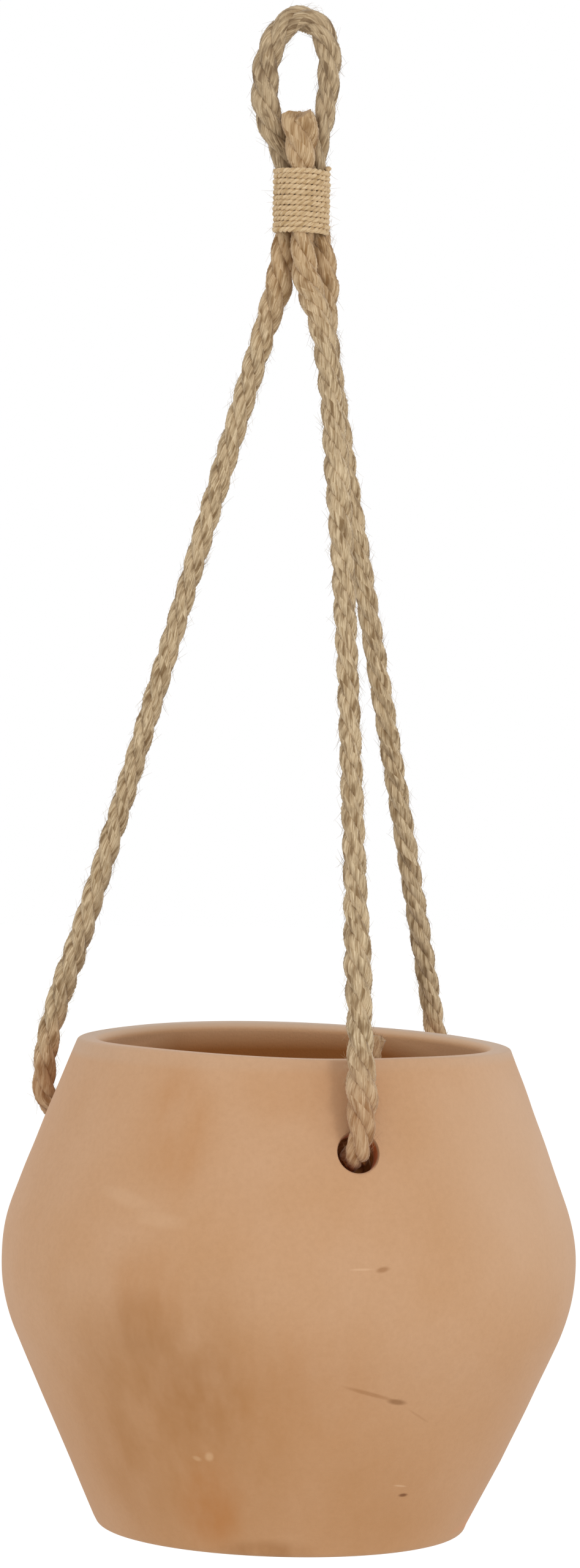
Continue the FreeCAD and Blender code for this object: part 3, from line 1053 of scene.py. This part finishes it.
# The twine's route is a close helix. It isn't wound quite evenly, so each point has a little slack.
twine_radius = 0.95
winding_radius = 7.75
reach_slack = 0.16
level_slack = 0.15
binding_low, binding_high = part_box("binding")
twine_pitch = ((binding_high.z - binding_low.z) / mm - 2 * twine_radius) / twine_turns
twine_draw = np.random.default_rng(5)
twine_route = []
for i in range(twine_turns * twine_points_per_turn + 1):
    turn = 2 * math.pi * i / twine_points_per_turn
    reach = winding_radius + twine_draw.uniform(-reach_slack, reach_slack)
    level = binding_high.z / mm - twine_radius - twine_pitch * i / twine_points_per_turn
    level += twine_draw.uniform(-level_slack, level_slack)
    twine_route.append((reach * math.cos(turn), reach * math.sin(turn), level))
twine_path = smooth_route(twine_route, twine_step, twine_fineness)
twine_size = np.full(len(twine_path), twine_radius * mm)
binding_surface = Surface()
lay_rope(binding_surface, jute_twine, twine_path, twine_size, 301)
stray_fibres(binding_surface, twine_path, twine_size, twine_hairs, 302)
binding = add_piece("twine_binding", binding_surface.mesh("twine_binding"))

# Bleached jute twine, finer, paler and cleaner than the rope.
twine_streak = (0.25, 3.0)
twine_fleck = (2.0, 6.0)
pale_twine = jute_skin("pale_jute_twine", "E5CDA8", "CCAC80", "B69669", twine_streak, twine_fleck)
binding.data.materials.append(pale_twine)
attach(binding, "hanger")
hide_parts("binding")

# Floor and light
# A plain white studio: a pale floor some way under the hanging pot, a bright even surround, a soft
# lamp in front on the right, which throws the front rope's shadow to the left, and a weak one on the left.
floor_size = 6
floor_drop = 160 * mm
floor_build = bmesh.new()
bmesh.ops.create_grid(floor_build, x_segments=1, y_segments=1, size=floor_size)
floor_mesh = bpy.data.meshes.new("floor")
floor_build.to_mesh(floor_mesh)
floor_build.free()
floor = add_piece("floor", floor_mesh)
floor.location.z = base_level - floor_drop

# Matt white paint, lifted to full white for the camera away from the pot, so that the shadow under it still
# shows. Near the pot the lift is weaker, which paints a soft grey spot round the real shadow.
paint = bpy.data.materials.new("matt_white_floor")
paint.use_nodes = True
coat = paint.node_tree
coat_shader = coat.nodes["Principled BSDF"]
coat_shader.inputs["Base Color"].default_value = linear("F6F6F4")
coat_shader.inputs["Roughness"].default_value = 0.9
coat_seen = put(coat, "ShaderNodeLightPath", {}).outputs["Is Camera Ray"]
coat_place = put(coat, "ShaderNodeTexCoord", {}).outputs["Object"]
coat_away = put(coat, "ShaderNodeVectorMath", {0: coat_place}, operation="LENGTH").outputs["Value"]
# Painted shadow: the white lift fades towards the pot, leaving a grey spot under it.
coat_fill_and_painted_shadow = put(
    coat,
    "ShaderNodeMapRange",
    {"Value": coat_away, "From Min": 200 * mm, "From Max": 750 * mm, "To Min": 0.1, "To Max": 0.3},
).outputs[0]
coat_lift_and_painted_shadow = put(coat, "ShaderNodeMath", {0: coat_seen, 1: coat_fill_and_painted_shadow}, operation="MULTIPLY").outputs[0]
coat_white = put(coat, "ShaderNodeEmission", {"Color": (1, 1, 1, 1), "Strength": coat_lift_and_painted_shadow})
coat_sum = put(coat, "ShaderNodeAddShader", {0: coat_shader.outputs[0], 1: coat_white.outputs[0]})
coat.links.new(coat_sum.outputs[0], coat.nodes["Material Output"].inputs["Surface"])
floor.data.materials.append(paint)

# The surround lights the planter evenly, and is white to the camera and in reflections.
world = bpy.data.worlds.new("studio")
bpy.context.scene.world = world
world.use_nodes = True
sky = world.node_tree
sky_fill = sky.nodes["Background"]
sky_fill.inputs["Color"].default_value = (1, 1, 1, 1)
sky_fill.inputs["Strength"].default_value = 0.8
sky_white = put(sky, "ShaderNodeBackground", {"Color": (1, 1, 1, 1), "Strength": 1.0})
sky_path = put(sky, "ShaderNodeLightPath", {})
sky_seen = put(
    sky,
    "ShaderNodeMath",
    {0: sky_path.outputs["Is Camera Ray"], 1: sky_path.outputs["Is Glossy Ray"]},
    operation="MAXIMUM",
)
sky_any = put(
    sky,
    "ShaderNodeMath",
    {0: sky_seen.outputs[0], 1: sky_path.outputs["Is Transmission Ray"]},
    operation="MAXIMUM",
)
sky_mix = put(
    sky,
    "ShaderNodeMixShader",
    {0: sky_any.outputs[0], 1: sky_fill.outputs[0], 2: sky_white.outputs[0]},
)
sky.links.new(sky_mix.outputs[0], sky.nodes["World Output"].inputs["Surface"])

# Each lamp is a soft disc, with its place and its width in metres and its power in watts.
lamps = {
    "front_lamp": ((0.85, -1.35, 0.3), 0.45, 5.0),
    "left_lamp": ((-1.54, -0.72, 0.3), 0.6, 2.5),
}
lamp_aim = Vector((0, 0, -0.33))
for name, (place, size, energy) in lamps.items():
    lamp_data = bpy.data.lights.new(name, "AREA")
    lamp_data.shape = "DISK"
    lamp_data.size = size
    lamp_data.energy = energy
    lamp = bpy.data.objects.new(name, lamp_data)
    lamp.location = place
    lamp.rotation_euler = (lamp_aim - lamp.location).to_track_quat("-Z", "Y").to_euler()
    bpy.context.scene.collection.objects.link(lamp)
bpy.context.scene.view_settings.view_transform = "Standard"
